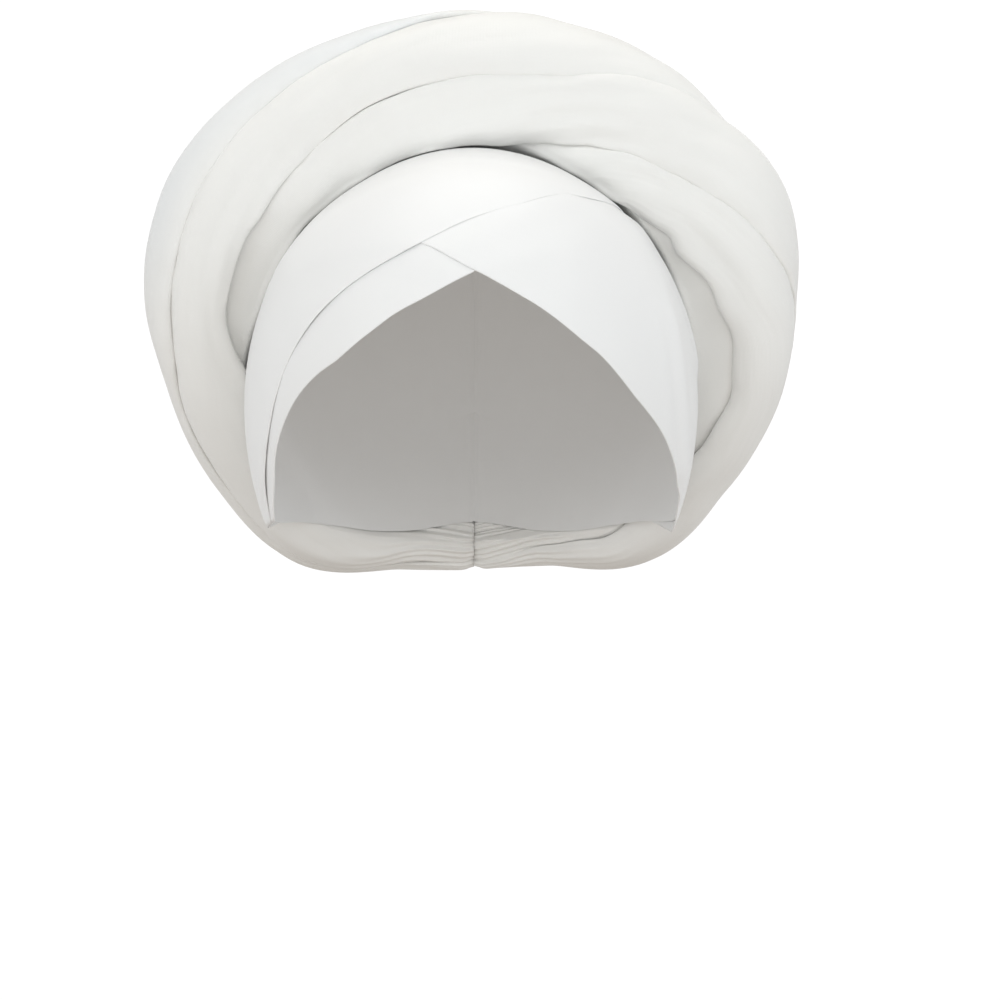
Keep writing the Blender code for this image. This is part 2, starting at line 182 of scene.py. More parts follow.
def bodyLift(fan, opening):  # the soft bulk that carries the cap
    bands = sum(presence(band, fan, opening, layers["bodyMargin"], layers["bodyEase"]) for band in bandEdges)
    crown = window(fan, *layers["crownFans"]) * window(opening, *layers["crownOpenings"])
    return (layers["bodyLift"] + layers["bodyPerBand"] * bands) * (1 - layers["crownShare"] * crown)


def shown(band, fan, opening):
    return presence(band, fan, opening, layers["showMargin"], layers["showEase"])


def bandLift(band, fan, opening):  # height of a band's inner face over the head form
    pitch = layers["cloth"] + layers["gap"]
    under = sum(shown(other, fan, opening) for other in liesOn[band])
    return bodyLift(fan, opening) + pitch * (1 + under)


# Folds in the bands: a line on the head, how far the cloth stands out along it, and how wide the fold is
bandFolds = {
    "over_band": (
        {"line": Table("fan opening", ((12.0, 86.0), (21.0, 85.5), (33.0, 84.8), (46.0, 84.3))),
         "height": 1.4 * mm, "width": 3.2, "soft": 7.0},
        {"line": Table("fan opening", ((16.0, 82.6), (21.0, 82.8), (33.0, 82.3), (42.0, 81.8))),
         "height": -0.8 * mm, "width": 0.8, "soft": 5.0},
        {"line": Table("fan opening", ((-18.0, 65.0), (-8.0, 60.0), (6.1, 57.0), (19.5, 58.5))),
         "height": 1.1 * mm, "width": 8.0, "soft": 10.0},
        {"line": Table("fan opening", (
            (-22.0, 68.5), (-18.0, 64.5), (-7.8, 59.2), (6.1, 56.5), (19.5, 58.0))),
         "height": -1.1 * mm, "width": 2.2, "soft": 8.0},
        {"line": Table("fan opening", ((-20.0, 72.0), (-8.0, 66.0), (6.0, 63.0), (24.0, 66.0))),
         "height": 0.8 * mm, "width": 3.4, "soft": 10.0},
        {"line": Table("fan opening", ((-18.0, 60.5), (0.3, 51.0), (21.2, 50.0))),
         "height": -0.4 * mm, "width": 2.6, "soft": 9.0},
    ),
    "top_band": (
        {"line": Table("fan opening", ((192.0, 64.0), (200.0, 70.5), (207.0, 78.0))),
         "height": 0.5 * mm, "width": 6.0, "soft": 6.0},
        {"line": Table("fan opening", ((195.0, 62.0), (201.2, 67.9), (206.0, 74.0))),
         "height": -0.55 * mm, "width": 1.0, "soft": 4.0},
        {"line": Table("fan opening", ((190.0, 66.5), (199.0, 73.0), (206.0, 81.0))),
         "height": -0.35 * mm, "width": 1.3, "soft": 6.0},
        {"line": Table("fan opening", ((74.2, 69.5), (81.1, 67.5), (88.2, 67.0), (97.0, 68.5))),
         "height": 0.45 * mm, "width": 2.4, "soft": 8.0},
    ),
    "under_band": (),
}


def foldLift(band, fan, opening):
    waves = ripple(fan / layers["unevenFan"], opening / layers["unevenOpening"], len(band))
    lift = layers["uneven"] * (1 + waves)
    for fold in bandFolds[band]:
        line = fold["line"]
        along = window(fan, line.places[0], line.places[-1], fold["soft"])
        lift = lift + fold["height"] * along * swell(opening - line.at("opening", fan), fold["width"])
    return lift


def topCloth(fan, opening):  # height of the uppermost face, for the strands that press on it
    pitch = layers["cloth"] + layers["gap"]
    bands = sum(shown(band, fan, opening) for band in bandEdges)
    folds = sum(np.clip(foldLift(b, fan, opening), 0, None) * shown(b, fan, opening) for b in bandEdges)
    return bodyLift(fan, opening) + layers["cloth"] + pitch * bands + folds


def clearance(points):  # how far points stand off the uppermost cloth
    arm = points - headCentre
    length = np.linalg.norm(arm, axis=-1)
    direction = arm / length[..., None]
    opening = np.degrees(np.arccos(np.clip(-direction[..., 1], -1, 1)))
    fan = np.degrees(np.arctan2(direction[..., 2], direction[..., 0]))
    fan = np.where(fan < -90, fan + 360, fan)
    return length - headRadius(direction) - topCloth(fan, opening)


# Building meshes from rows of points

def makeMesh(name, points, faces, weave):
    mesh = bpy.data.meshes.new(name)
    mesh.from_pydata(points.tolist(), [], faces)
    corners = np.zeros(len(mesh.loops), np.int32)
    mesh.loops.foreach_get("vertex_index", corners)
    layer = mesh.uv_layers.new(name="weave")  # metres along the cloth and across it
    layer.data.foreach_set("uv", weave[corners].astype(np.float32).ravel())
    bm = bmesh.new()
    bm.from_mesh(mesh)
    bmesh.ops.recalc_face_normals(bm, faces=bm.faces)
    bm.to_mesh(mesh)
    bm.free()
    mesh.shade_smooth()
    piece = bpy.data.objects.new(name, mesh)
    bpy.context.scene.collection.objects.link(piece)
    return piece


def loopFaces(columns, around):  # quads between closed loops of points
    i, k = np.meshgrid(np.arange(columns - 1), np.arange(around), indexing="ij")
    a, b = i * around + k, i * around + (k + 1) % around
    return np.stack([a, b, b + around, a + around], -1).reshape(-1, 4).tolist()


def evenSteps(places, points, step):  # places read from a list at even steps of the length along the points
    lengths = np.concatenate([[0], np.cumsum(np.linalg.norm(np.diff(points, axis=0), axis=-1))])
    return np.interp(np.linspace(0, lengths[-1], round(lengths[-1] / step) + 1), lengths, places)


def runLength(points):  # length travelled along each row of points, (columns, rows, 3)
    steps = np.linalg.norm(np.diff(points, axis=0), axis=-1)
    return np.concatenate([np.zeros((1, points.shape[1])), np.cumsum(steps, axis=0)])


# Materials: a class for arithmetic on sockets and one for the node tree

class Num:  # a socket's number, or a vector, on which the usual operators add nodes
    def __init__(self, finish, socket):
        self.finish, self.socket = finish, socket

    def maths(self, operation, *values, clamp=False):
        settings = {"operation": operation, "use_clamp": clamp}
        return self.finish.node("ShaderNodeMath", settings, dict(enumerate(values)))

    def __add__(self, other):
        return self.maths("ADD", self, other)

    def __sub__(self, other):
        return self.maths("SUBTRACT", self, other)

    def __rsub__(self, other):
        return self.maths("SUBTRACT", other, self)

    def __mul__(self, other):
        return self.maths("MULTIPLY", self, other)

    def __truediv__(self, other):
        return self.maths("DIVIDE", self, other)

    def __abs__(self):
        return self.maths("ABSOLUTE", self)

    __radd__, __rmul__ = __add__, __mul__

    def sine(self):
        return self.maths("SINE", self)

    def clamp(self):
        return self.maths("ADD", self, 0.0, clamp=True)

    def output(self, index):  # another output of the same node
        return Num(self.finish, self.socket.node.outputs[index])


class Finish:  # one material and its nodes
    def __init__(self, name, constants):
        self.material = bpy.data.materials.new(name)
        self.material.use_nodes = True
        self.tree = self.material.node_tree
        self.shader = self.tree.nodes["Principled BSDF"]
        for socket, value in constants.items():
            self.shader.inputs[socket].default_value = value

    def feed(self, socket, value):
        if isinstance(value, Num):
            self.tree.links.new(value.socket, socket)
        else:
            socket.default_value = value

    def node(self, kind, settings=None, inputs=None, output=0):
        made = self.tree.nodes.new(kind)
        for key, value in (settings or {}).items():
            if key == "stops":
                for element, (place, colour) in zip(made.color_ramp.elements, value):
                    element.position, element.color = place, colour
            else:
                setattr(made, key, value)
        for key, value in (inputs or {}).items():
            self.feed(made.inputs[key], value)
        return Num(self, made.outputs[output])

    def noise(self, where, scale, detail=2.0, roughness=0.5, distortion=0.0):
        return self.node("ShaderNodeTexNoise", {}, {
            "Vector": where, "Scale": scale, "Detail": detail,
            "Roughness": roughness, "Distortion": distortion,
        })

    def stretched(self, where, along, across):  # coordinates scaled apart, for streaks
        return self.node("ShaderNodeVectorMath", {"operation": "MULTIPLY"}, {0: where, 1: (along, across, 1)})

    def mixColour(self, share, first, second):
        return self.node("ShaderNodeMix", {"data_type": "RGBA"}, {0: share, 6: first, 7: second}, output=2)

    def finished(self, look, colour, roughness, height):
        bump = {"Strength": look["bumpStrength"], "Distance": look["bump"], "Height": height}
        self.feed(self.shader.inputs["Base Color"], colour)
        self.feed(self.shader.inputs["Roughness"], roughness)
        self.feed(self.shader.inputs["Normal"], self.node("ShaderNodeBump", {}, bump))
        return self.material


organza = {
    "white": (0.805, 0.802, 0.782, 1),
    "shade": (0.750, 0.744, 0.720, 1),
    # painted shade: the bluish grey laid where the outer cloth is sheer, for the light and shade seen through
    # it
    "sheerShade": (0.740, 0.755, 0.762, 1),
    "shadeShare": 0.75,
    "thread": 0.55 * mm,       # one thread to the next
    "wander": 0.22 * mm,
    "streaks": (22, 900),      # how dense they are along the cloth and across it
    "slubs": (700, 40),
    "clouds": 26.0,
    "crumple": 150.0,
    "roughness": 0.56,
    "bump": 0.10 * mm,
    "bumpStrength": 0.55,
    "shader": {"Sheen Weight": 0.10, "Sheen Roughness": 0.45, "Specular IOR Level": 0.18},
}
crepe = {
    "white": (0.808, 0.810, 0.806, 1),
    "shade": (0.775, 0.778, 0.774, 1),
    "shadeShare": 0.7,
    "thread": 0.40 * mm,
    "wander": 0.12 * mm,
    "grain": 0.85 * mm,
    "streaks": (30, 700),
    "clouds": 20.0,
    "bump": 0.06 * mm,
    "bumpStrength": 0.5,
    "shader": {"Sheen Weight": 0.06, "Sheen Roughness": 0.35, "Specular IOR Level": 0.25},
}


def weaveOf(finish, look, where):  # waves of a plain weave's two sets of threads, which wander a little
    uneven = finish.noise(finish.stretched(where, 90, 90), 1.0, 1.0)
    split = finish.node("ShaderNodeSeparateXYZ", {}, {0: where})
    along, across = split, split.output(1)
    pace = turn / (2 * look["thread"])
    shift = (uneven - 0.5) * (look["wander"] * pace * 2)
    warp = (along * pace + shift).sine()
    weft = (across * pace - shift).sine()
    return warp, weft


def organzaFinish(name, sheerShadeShare):
    finish = Finish(name, organza["shader"])
    where = finish.node("ShaderNodeUVMap", {"uv_map": "weave"})
    solid = finish.node("ShaderNodeTexCoord", output=3)
    warp, weft = weaveOf(finish, organza, where)
    threads = 1 - abs(warp) * abs(weft) * 0.9
    streaks = finish.noise(finish.stretched(where, *organza["streaks"]), 1.0, 3.0, 0.6)
    slubs = finish.noise(finish.stretched(where, *organza["slubs"]), 1.0, 2.0, 0.55)
    clouds = finish.noise(solid, organza["clouds"], 2.0, 0.5)
    crumple = finish.noise(solid, organza["crumple"], 3.0, 0.55, 0.6)
    depth = (threads * 0.30 + streaks * 0.35 + slubs * 0.15 + (1 - clouds) * 0.35 - 0.22).clamp()
    colour = finish.mixColour(depth * organza["shadeShare"], organza["white"], organza["shade"])
    # painted shade where the outer cloth is sheer: a bluish grey mixed in by the strand's mask
    if sheerShadeShare:
        sheerShade = finish.node("ShaderNodeAttribute", {"attribute_name": "sheerShade"}, output=2)
        colour = finish.mixColour(sheerShade * sheerShadeShare, colour, organza["sheerShade"])
    height = threads * -0.5 + streaks * 0.55 + slubs * 0.3 + crumple * 1.5
    roughness = (organza["roughness"] + threads * 0.14 + streaks * 0.1).clamp()
    return finish.finished(organza, colour, roughness, height)


def crepeFinish(name, gloss):  # gloss is the roughness that the grain and the threads add to
    finish = Finish(name, crepe["shader"])
    where = finish.node("ShaderNodeUVMap", {"uv_map": "weave"})
    solid = finish.node("ShaderNodeTexCoord", output=3)
    warp, weft = weaveOf(finish, crepe, where)
    threads = warp * weft * 0.5 + 0.5
    grain = finish.noise(solid, 1 / crepe["grain"], 3.0, 0.6, 0.4)
    streaks = finish.noise(finish.stretched(where, *crepe["streaks"]), 1.0, 2.0, 0.5)
    clouds = finish.noise(solid, crepe["clouds"], 2.0, 0.5)
    depth = (grain * 0.45 + threads * 0.15 + streaks * 0.25 + clouds * 0.4 - 0.3).clamp()
    colour = finish.mixColour(depth * crepe["shadeShare"], crepe["white"], crepe["shade"])
    height = threads * 0.35 + grain * 0.8 + streaks * 0.35
    roughness = (gloss + grain * 0.12 + threads * 0.05).clamp()
    return finish.finished(crepe, colour, roughness, height)


def dress(piece, node, material):
    piece.data.materials.append(material)
    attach(piece, body)
    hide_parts(node)


# The cap

cap = {
    "columnStep": 2.6 * mm,
    "rows": 46,
    "rimRows": (0.0, 0.12, 0.35, 0.7, 1.2, 2.0, 3.0),  # closer rows at the rim, percent of the way up
    "hem": 0.5,                # degrees over which the rim's edge rounds off
    "seamDepth": 0.45 * mm,    # the seam down the middle of the back
    "seamWidth": 1.1 * mm,
    "seamColumns": (-1.6, -0.8, 0, 0.8, 1.6),  # closer columns beside it, in degrees
    "seamLip": {"share": 0.8, "off": 2.2 * mm, "width": 1.6 * mm},  # the cloth that stands up beside it
    "seamFrom": 0.01,          # how far back it starts, and over how far it deepens
    "seamOver": 0.03,
    "uneven": {"height": 0.12 * mm, "wide": 0.05, "tall": 0.06, "seed": 5},
    "rim": (
        # fan, opening
        (-75.0, 147.5), (-60.0, 141.0), (-50.0, 135.0), (-40.0, 127.0), (-34.0, 117.0), (-31.0, 103.0),
        (-29.5, 90.5), (-26.0, 79.5), (-19.0, 68.5), (-9.5, 55.5), (2.5, 43.0), (23.0, 33.5), (51.0, 28.5),
        (70.5, 28.5), (87.4, 31.0), (101.0, 28.5), (117.0, 27.5), (147.0, 30.5), (163.0, 35.5),
        (171.5, 41.5), (180.0, 48.0), (188.0, 54.0), (195.0, 60.0), (203.0, 67.5), (207.5, 77.0),
        (209.5, 90.5), (211.0, 103.0), (214.0, 117.0), (220.0, 127.0), (230.0, 135.0), (240.0, 141.0),
        (255.0, 147.5), (270.0, 150.0),
    ),
}


def rimLine(steps=14):  # the rim as a closed curve through its points
    rows = np.array(cap["rim"])
    count = len(rows)
    fine = []
    for k in range(count):
        picked = rows[[(k - 1) % count, k, (k + 1) % count, (k + 2) % count]].copy()
        for j in (1, 2, 3):
            if picked[j, 0] < picked[j - 1, 0] - 180:
                picked[j:, 0] += 360
        t = np.arange(steps)[:, None] / steps
        picked[:, 0] -= picked[1, 0] - rows[k, 0]
        a, b, c, d = picked
        fine.append(0.5 * (2 * b + (c - a) * t + (2 * a - 5 * b + 4 * c - d) * t * t
                           + (3 * b - a - 3 * c + d) * t ** 3))
    fine = np.concatenate(fine)
    return np.concatenate([fine, fine[:1] + [360.0, 0.0]])


def makeCap():
    line = rimLine()
    points = onHead(line[:, 0], line[:, 1], np.zeros(len(line)))
    fans = evenSteps(line[:, 0], points, cap["columnStep"])[:-1]
    beside = np.array(cap["seamColumns"])
    fans = np.unique(np.concatenate([fans, 90 + beside, 270 + beside]).round(3))
    rims = np.interp(fans, line[:, 0], line[:, 1])
    rows = np.concatenate([cap["rimRows"], np.linspace(4.5, 100, cap["rows"])]) / 100
    rows = rows[:-1]  # the pole is one point
    fan = fans[:, None] + 0 * rows
    opening = rims[:, None] + (180 - rims[:, None]) * rows
    edge = ease((opening - rims[:, None]) / cap["hem"]) ** 0.5
    inner = bodyLift(fan, opening)
    middle = onHead(fan, opening, inner)
    behind = ease((middle[..., 1] - cap["seamFrom"]) / cap["seamOver"])
    lip, uneven = cap["seamLip"], cap["uneven"]
    side = middle[..., 0]
    seam = cap["seamDepth"] * behind * (lip["share"] * swell(np.abs(side) - lip["off"], lip["width"])
                                        - swell(side, cap["seamWidth"]))
    waves = ripple(side / uneven["wide"], middle[..., 2] / uneven["tall"], uneven["seed"])
    inner = inner + seam + uneven["height"] * waves
    outer = inner + layers["cloth"] * edge
    around = len(fans)
    outside, inside = onHead(fan, opening, outer), onHead(fan, opening, inner)
    loops = np.concatenate([outside[:, ::-1], inside[:, 1:]], axis=1)  # from the pole over the rim and back
    width = loops.shape[1]
    poles = onHead(np.zeros(2), np.full(2, 180.0), np.array([outer[0, -1], inner[0, -1]]))
    allPoints = np.concatenate([loops.reshape(-1, 3), poles])
    faces = []
    for i in range(around):
        j = (i + 1) % around
        a, b = i * width, j * width
        faces += [(a + k, b + k, b + k + 1, a + k + 1) for k in range(width - 1)]
        faces += [(a, b, len(allPoints) - 2), (a + width - 1, b + width - 1, len(allPoints) - 1)]
    spread = np.concatenate([(180 - opening)[:, ::-1], (180 - opening)[:, 1:]], axis=1) * degreeLength
    angle = np.radians(fans)[:, None]
    weave = np.stack([spread * np.cos(angle), spread * np.sin(angle)], -1).reshape(-1, 2)
    weave = np.concatenate([weave, np.zeros((2, 2))])
    return makeMesh("cap_cloth", allPoints, faces, weave)


capCloth = makeCap()
dress(capCloth, "cap", crepeFinish("cap crepe", 0.50))
print("cap made:", len(capCloth.data.polygons), "faces")


# The bands

bands = {
    "columnStep": 2.2 * mm,
    "rowStep": 1.9,            # degrees
    "fineSteps": 400,
    "edgeRows": (0.0, 0.06, 0.2, 0.45, 0.8, 1.3, 2.0),
    "round": 0.42,             # degrees over which an edge rounds off
    # a hem stands off the band below, and a feathered edge lies pressed into it
    "hem": {"top_band": {"lift": 0.24 * mm, "width": 0.75, "fans": (116, 199, 8)}},
    "feather": {"top_band": {"from": 101.0, "over": 12.0, "thin": 0.25, "width": 7.0}},
}


def bandThickness(name, fan, inFront, behind):
    nearest = np.minimum(inFront, behind)
    rounded = np.sqrt(1 - (1 - np.clip(nearest / bands["round"], 0, 1)) ** 2)
    thickness = layers["cloth"] * rounded
    if name in bands["feather"]:  # where this edge lies pressed into the band below it, it hardly shows
        look = bands["feather"][name]
        pressed = (1 - ease((fan - look["from"]) / look["over"])) * (1 - ease(inFront / look["width"]))
        thickness = thickness * (1 - (1 - look["thin"]) * pressed)
    return thickness


def makeBand(name):
    edges = bandEdges[name]
    fine = np.linspace(edges.places[0], edges.places[-1], bands["fineSteps"])
    front, back = (onHead(fine, edges.at(side, fine), 0 * fine) for side in ("front", "back"))
    fans = evenSteps(fine, (front + back) / 2, bands["columnStep"])
    widest = np.max(edges.at("back", fans) - edges.at("front", fans))
    edgeRows = np.array(bands["edgeRows"])
    middle = np.linspace(0, 1, round(widest / bands["rowStep"]))[1:-1]
    fan = fans[:, None]
    low, high = edges.at("front", fan), edges.at("back", fan)
    first, last = low + edgeRows, high - edgeRows[::-1]
    opening = np.concatenate([first, first[:, -1:] + (last[:, :1] - first[:, -1:]) * middle, last], axis=1)
    fan = fan + 0 * opening
    inner = bandLift(name, fan, opening) + foldLift(name, fan, opening)
    if name in bands["hem"]:
        look = bands["hem"][name]
        inner = inner + look["lift"] * window(fan, *look["fans"]) * swell(opening - low, look["width"])
    outer = inner + bandThickness(name, fan, opening - low, high - opening)
    outside, inside = onHead(fan, opening, outer), onHead(fan, opening, inner)
    loops = np.concatenate([outside, inside[:, -2:0:-1]], axis=1)
    columns, around = loops.shape[:2]
    rows = opening.shape[1]
    faces = loopFaces(columns, around)
    for base in (0, (columns - 1) * around):  # the two short ends
        faces += [tuple(base + k for k in (r, r + 1, (around - r - 1) % around, (around - r) % around))
                  for r in range(1, rows - 2)]
        faces += [(base, base + 1, base + around - 1), (base + rows - 2, base + rows - 1, base + rows)]
    along = runLength(outside)
    across = np.concatenate([np.zeros((columns, 1)),
                             np.cumsum(np.linalg.norm(np.diff(outside, axis=1), axis=-1), axis=1)], axis=1)
    along, across = (np.concatenate([v, v[:, -2:0:-1]], axis=1) for v in (along, across))
    weave = np.stack([along, across], -1).reshape(-1, 2)
    return makeMesh(name + "_cloth", loops.reshape(-1, 3), faces, weave)


bandFlats = {
    # width and length of the strip, and the area it is cut to
    "under_band": {"flat": (0.115, 0.20), "area": 0.0150},
    "over_band": {"flat": (0.130, 0.27), "area": 0.0270},
    "top_band": {"flat": (0.110, 0.26), "area": 0.0220},
}
for bandName, cut in bandFlats.items():
    band = makeBand(bandName)
    dress(band, bandName, crepeFinish(bandName.replace("_", " ") + " crepe", 0.44))
    print(bandName, "made:", len(band.data.polygons), "faces")


# The padded ring: five strands that turn round each other. Places along it are angles: -90 and 270 at
# the nape seam, 0 at the right side, 90 over the crown. Places round the rope: 0 to the front, 90 outwards.

ring = {
    "level": -0.055,           # height of the ring's middle
    "power": 2.4,              # 2 is an oval rope, more is squarer
    "lipPower": 1.8,           # squarer still where the front roll lies on the cap
    "lips": ((-10, 92, 26, 1.0), (122, 205, 20, 0.7)),  # from, to, soft and how much of it
    "core": 0.12,              # the inner end of every strand, as a share of the rope's radius
    "foot": 0.35,              # the side walls of a strand, as shares too
    "shoulder": 0.86,
    "swirl": 22.0,             # degrees that the walls lean round the core
    "spread": 0.09,            # the most that a roll widens to lie on the cap
    "pressed": Table("ring share", (
        (-90.0, 0), (-60.0, 0), (-40.0, 1), (56.0, 1), (66.0, 0), (76.0, 1), (88.0, 0), (98.0, 0),
        (108.0, 0.7), (120.0, 1), (156.0, 1), (200.0, 1), (220.0, 0), (270.0, 0),
    ), period=360.0),
    "pressedPlaces": (-88, -22, 22),
    "roomEase": 0.1,
    "clearance": 0.0003,       # left between a roll and the cloth under it
    "least": 0.2 * mm,         # points nearer to the cloth than this are pushed out,
    "deepest": -6 * mm,        # unless they lie deeper inside than this
    "slit": 0.00006,           # half the gap between two strands
    "seamSlit": 0.03,          # the same at the nape seam, in degrees
    "edgePlace": 0.03,
    "overhang": 0.055,         # how far an upper strand laps over its neighbour
    "nose": 0.38,
    "noseSink": 0.02,
    "sharpness": 3.2,          # how late a strand's back curves down to its edges
    "sharpnessLap": 1.1,
    "backPlaces": (0.10, 0.20, 0.32, 0.44, 0.56, 0.68, 0.80, 0.90),
    "outsideFrom": 0.62,          # shares of the radius over which a point comes to count as outside
    "outsideOver": 0.2,
    "stations": 380,
    "halvings": 14,
    "lapStart": 30.0,
    "lapEnd": 110.0,
    "seamPinch": 0.13,
    "seamWidth": 1.6,
    "still": (-78, 258, 12),   # outside these places the creases don't wander, so that they meet at the seam
    "sheerShade": {"ring": (18, 72, 22), "place": (55, 150, 30), "share": 0.8},  # the bluish, sheer patch: painted shade, a bluish grey standing for the light and shade seen through the thin cloth
    "rope": Table("ring reach halfWidth halfDepth depth", (
        (-90.0, 0.1070, 0.0120, 0.0130, 0.086),
        (-72.0, 0.1110, 0.0130, 0.0140, 0.083),
        (-54.0, 0.1270, 0.0165, 0.0180, 0.072),
        (-35.0, 0.1270, 0.0215, 0.0230, 0.055),
        (-15.0, 0.1270, 0.0260, 0.0260, 0.036),
        (2.0, 0.1295, 0.0280, 0.0280, 0.026),
        (22.0, 0.1290, 0.0295, 0.0290, 0.022),
        (46.0, 0.1210, 0.0298, 0.0295, 0.021),
        (70.0, 0.1138, 0.0290, 0.0305, 0.017),
        (90.0, 0.1130, 0.0290, 0.0310, 0.015),
        (110.0, 0.1150, 0.0290, 0.0305, 0.017),
        (132.0, 0.1198, 0.0297, 0.0295, 0.020),
        (146.0, 0.1228, 0.0300, 0.0290, 0.021),
        (162.0, 0.1302, 0.0305, 0.0290, 0.022),
        (178.0, 0.1285, 0.0285, 0.0290, 0.026),
        (192.0, 0.1285, 0.0260, 0.0270, 0.034),
        (215.0, 0.1270, 0.0215, 0.0230, 0.055),
        (234.0, 0.1270, 0.0165, 0.0180, 0.072),
        (252.0, 0.1110, 0.0130, 0.0140, 0.083),
        (270.0, 0.1070, 0.0120, 0.0130, 0.086),
    ), period=360.0),
    "creases": Table("ring outer_crest crest_front front_side side_inner inner_outer", (
        (-90.0, 60, -20, -95, -165, -235),
        (-72.0, 62, -35, -105, -170, -238),
        (-54.0, 64, -50, -115, -175, -240),
        (-35.0, 60, -48, -112, -172, -238),
        (-20.0, 58, -33, -110, -169, -237),
        (-7.0, 43, -15, -104, -166, -236),
        (8.0, 34, -18, -99, -163, -234),
        (25.0, 31, -24, -95, -159, -232),
        (45.0, 39, -16, -90, -155, -230),
        (62.0, 48, -7, -84, -149, -224),
        (76.0, 59, -3, -76, -144, -220),
        (90.0, 76, 0, -66, -134, -215),
        (102.0, 93, 4, -54, -120, -209),
        (114.0, 108, 15, -43, -103, -203),
        (127.0, 120, 35, -29, -83, -196),
        (137.0, 130, 51, -18, -62, -190),
        (147.0, 139, 69, -6, -47, -183),
        (157.0, 147, 92, 6, -41, -176),
        (168.0, 157, 109, 33, -34, -166),
        (176.0, 164, 118, 60, -14, -157),
        (184.0, 171, 130, 83, 0, -147),
        (194.0, 180, 140, 95, 11, -135),
        (207.0, 192, 149, 104, 7, -120),
        (220.0, 207, 159, 112, -9, -102),
        (234.0, 225, 171, 118, -10, -80),
        (252.0, 245, 184, 122, 17, -50),
        (270.0, 265, 195, 125, 60, -20),
    )),
    "laps": {  # 1 where the strand with the larger places is the upper one, at the right and the left side
        "outer_crest": (1.0, 1.0),
        "crest_front": (1.0, -1.0),
        "front_side": (1.0, 1.0),
        "side_inner": (1.0, 1.0),
        "inner_outer": (0.0, 0.0),
    },
    "depths": {  # how far a crease's two sides lie under the rope's outline, as shares of its radius
        "outer_crest": Table("ring over under", (
            (-90.0, 0.05, 0.12), (0.0, 0.035, 0.10), (270.0, 0.05, 0.12),
        )),
        "crest_front": Table("ring over under", (
            (-90.0, 0.06, 0.16), (-30.0, 0.07, 0.20), (0.0, 0.07, 0.26), (20.0, 0.045, 0.16),
            (40.0, 0.025, 0.075), (58.0, 0.012, 0.035), (80.0, 0.010, 0.025), (115.0, 0.015, 0.04),
            (145.0, 0.045, 0.11), (270.0, 0.06, 0.14),
        )),
        "front_side": Table("ring over under", (
            (-90.0, 0.06, 0.14), (90.0, 0.06, 0.18), (115.0, 0.05, 0.15), (140.0, 0.04, 0.09),
            (165.0, 0.03, 0.06), (200.0, 0.04, 0.09), (270.0, 0.06, 0.14),
        )),
        "side_inner": Table("ring over under", (
            (-90.0, 0.06, 0.16), (110.0, 0.04, 0.06), (148.0, 0.04, 0.06), (165.0, 0.05, 0.12),
            (200.0, 0.06, 0.22), (270.0, 0.06, 0.16),
        )),
        "inner_outer": Table("ring over under", ((-90.0, 0.12, 0.12), (270.0, 0.12, 0.12))),
    },
    "ragged": {  # how far each crease wanders, in degrees round the rope, and over how long a stretch
        "outer_crest": {"reach": 0.25, "stretch": 22.0, "seed": 11},
        "crest_front": {"reach": 0.7, "stretch": 11.0, "seed": 12},
        "front_side": {"reach": 0.4, "stretch": 16.0, "seed": 13},
        "side_inner": {"reach": 1.7, "stretch": 7.0, "seed": 14},
        "inner_outer": {"reach": 0.8, "stretch": 12.0, "seed": 15},
    },
}
strands = {
    "outer_strand": {"low": "outer_crest", "high": "inner_outer", "turn": 360.0, "seed": 21},
    "crest_strand": {"low": "crest_front", "high": "outer_crest", "turn": 0.0, "seed": 31},
    "front_strand": {"low": "front_side", "high": "crest_front", "turn": 0.0, "seed": 41,
                     "slack": {"ring": -6.0, "spread": 46.0, "place": -36.0, "width": 40.0}},
    "side_strand": {"low": "side_inner", "high": "front_side", "turn": 0.0, "seed": 51},
    "inner_strand": {"low": "inner_outer", "high": "side_inner", "turn": 0.0, "seed": 61,
                     "slack": {"ring": 184.0, "spread": 40.0, "place": -28.0, "width": 44.0}},
}
slackDepth = 7 * mm  # how far a slack strand sinks back between its neighbours
relief = {
    # the unevenness of a roll: height, degrees of the ring to one wave, waves from edge to edge
    "long": (0.55 * mm, 90, 1.3),
    "soft": (0.32 * mm, 30, 2.6),
    "dents": (0.26 * mm, 14, 1.8),
    "fine": (0.03 * mm, 9, 8),
    "edge": (0.16 * mm, 7, 2),
    "drift": 160,              # degrees of the ring over which the long waves cross the roll
    "edgeWidth": 0.10,
    "gather": 0.55 * mm,
    "gatherReach": 46,         # degrees from the nape seam
    "gatherFolds": 6,
    "gatherSway": 0.35,
}


def ringCore(place):
    rope = ring["rope"]
    distance = rope.at("reach", place) - rope.at("halfWidth", place)
    angle = np.radians(place)
    return np.stack([-distance * np.cos(angle), rope.at("depth", place),
                     ring["level"] + distance * np.sin(angle)], -1)


def ringFrame(place):  # the rope's middle, half its width outwards and half its depth to the front
    along = unit(ringCore(place + 0.5) - ringCore(place - 0.5))
    angle = np.radians(place)
    outward = np.stack([-np.cos(angle), np.zeros_like(angle), np.sin(angle)], -1)
    outward = unit(outward - along * np.sum(outward * along, -1, keepdims=True))
    front = np.cross(along, outward)
    front = front * -np.sign(front[..., 1:2])
    lip = sum(share * window(place, start, end, soft) for start, end, soft, share in ring["lips"])
    return (ringCore(place), outward * ring["rope"].at("halfWidth", place)[..., None],
            front * ring["rope"].at("halfDepth", place)[..., None], ring["lipPower"] * lip)


def ropeArm(rope, place):  # from the rope's middle to its outline
    _, outward, front, lip = rope
    angle = np.radians(place)
    out, ahead = np.sin(angle), np.cos(angle)
    power = ring["power"] + lip[:, None] * np.clip(-2 * out * ahead, 0, 1) * (ahead > 0)
    squareness = (np.abs(out) ** power + np.abs(ahead) ** power) ** (-1 / power)
    return outward[:, None] * (out * squareness)[..., None] + front[:, None] * (ahead * squareness)[..., None]


